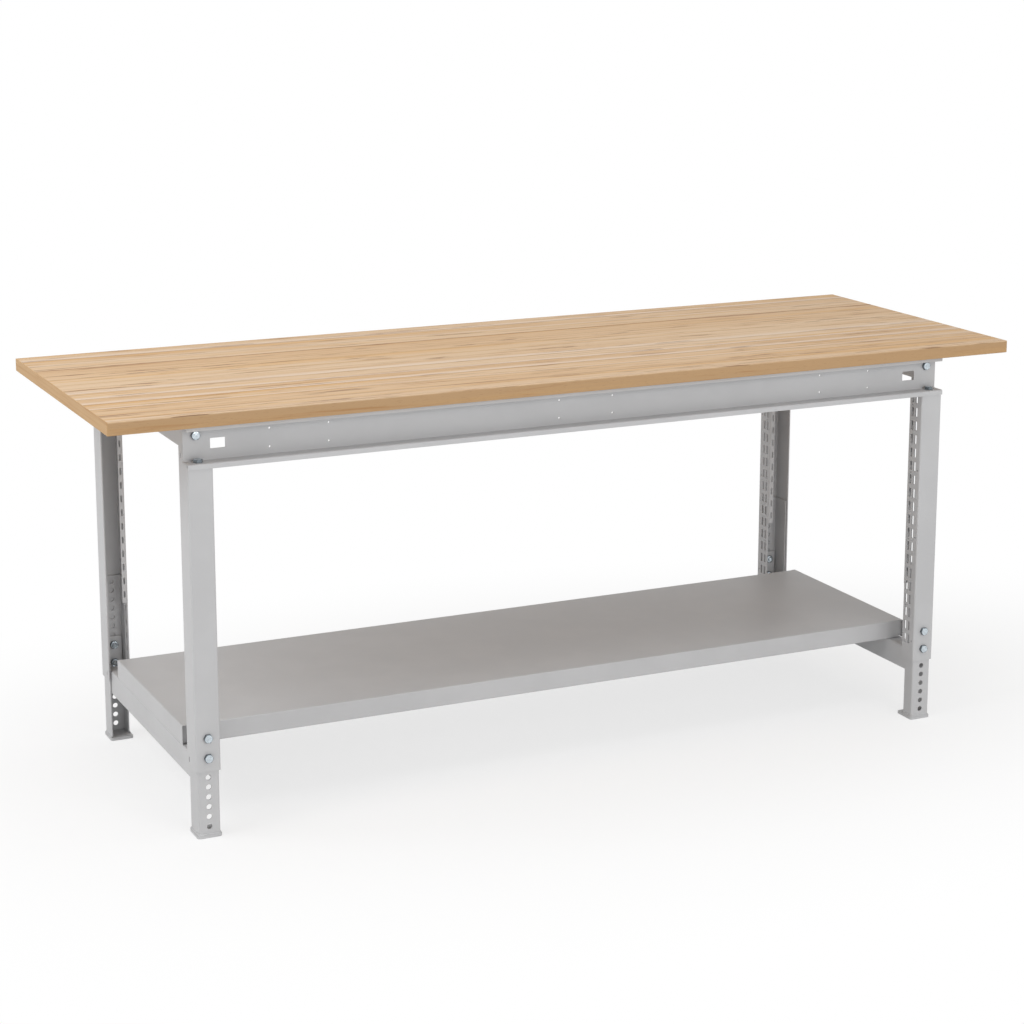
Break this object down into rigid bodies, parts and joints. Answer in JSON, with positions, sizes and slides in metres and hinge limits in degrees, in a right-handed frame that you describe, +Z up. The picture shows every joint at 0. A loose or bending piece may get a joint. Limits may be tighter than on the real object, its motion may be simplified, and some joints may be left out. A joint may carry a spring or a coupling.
{
  "type": "assembly table",
  "caption": "Assembly table: glued-stave wood top on a bolted frame of folded sheet steel, with slotted legs, a lower shelf and telescoping feet that set the height.",
  "frame": {"origin": "on the floor, under the middle of the worktop", "axes": "+X along the worktop's length, -Y towards the front, +Z up"},
  "size_m": [2, 0.7, 0.84],
  "materials": {
    "powder_coat": "light grey powder coat, satin, fine texture",
    "beech": "glued beech staves, oiled, satin",
    "zinc": "bright zinc plate"
  },
  "bodies": {
    "frame": {"worktop_board": "beech", "apron_front": "powder_coat", "apron_rear": "powder_coat", "upper_beam_left": "powder_coat", "upper_beam_right": "powder_coat", "lower_beam_left": "powder_coat", "lower_beam_right": "powder_coat", "shelf": "powder_coat", "leg_front_left": "powder_coat", "leg_bolt_lower_front_left": "zinc", "leg_nut_lower_front_left": "zinc", "leg_bolt_upper_front_left": "zinc", "leg_nut_upper_front_left": "zinc", "apron_bolt_front_left": "zinc", "apron_nut_front_left": "zinc", "ledge_bolt_front_left": "zinc", "ledge_nut_front_left": "zinc", "leg_front_right": "powder_coat", "leg_bolt_lower_front_right": "zinc", "leg_nut_lower_front_right": "zinc", "leg_bolt_upper_front_right": "zinc", "leg_nut_upper_front_right": "zinc", "apron_bolt_front_right": "zinc", "apron_nut_front_right": "zinc", "ledge_bolt_front_right": "zinc", "ledge_nut_front_right": "zinc", "leg_rear_left": "powder_coat", "leg_bolt_lower_rear_left": "zinc", "leg_nut_lower_rear_left": "zinc", "leg_bolt_upper_rear_left": "zinc", "leg_nut_upper_rear_left": "zinc", "apron_bolt_rear_left": "zinc", "apron_nut_rear_left": "zinc", "ledge_bolt_rear_left": "zinc", "ledge_nut_rear_left": "zinc", "leg_rear_right": "powder_coat", "leg_bolt_lower_rear_right": "zinc", "leg_nut_lower_rear_right": "zinc", "leg_bolt_upper_rear_right": "zinc", "leg_nut_upper_rear_right": "zinc", "apron_bolt_rear_right": "zinc", "apron_nut_rear_right": "zinc", "ledge_bolt_rear_right": "zinc", "ledge_nut_rear_right": "zinc", "board_screw_front_left_1": "zinc", "board_screw_front_left_2": "zinc", "board_screw_front_right_1": "zinc", "board_screw_front_right_2": "zinc", "board_screw_rear_left_1": "zinc", "board_screw_rear_left_2": "zinc", "board_screw_rear_right_1": "zinc", "board_screw_rear_right_2": "zinc"},
    "front_left_foot": {"foot_front_left": "powder_coat", "base_plate_front_left": "powder_coat"},
    "front_right_foot": {"foot_front_right": "powder_coat", "base_plate_front_right": "powder_coat"},
    "rear_left_foot": {"foot_rear_left": "powder_coat", "base_plate_rear_left": "powder_coat"},
    "rear_right_foot": {"foot_rear_right": "powder_coat", "base_plate_rear_right": "powder_coat"}
  },
  "joints": [
    {"name": "front_left_height", "type": "slide", "parent": "frame", "child": "front_left_foot", "axis": [0, 0, 1], "range_m": [-0.14, 0.1]},
    {"name": "front_right_height", "type": "slide", "parent": "frame", "child": "front_right_foot", "axis": [0, 0, 1], "range_m": [-0.14, 0.1]},
    {"name": "rear_left_height", "type": "slide", "parent": "frame", "child": "rear_left_foot", "axis": [0, 0, 1], "range_m": [-0.14, 0.1]},
    {"name": "rear_right_height", "type": "slide", "parent": "frame", "child": "rear_right_foot", "axis": [0, 0, 1], "range_m": [-0.14, 0.1]}
  ]
}
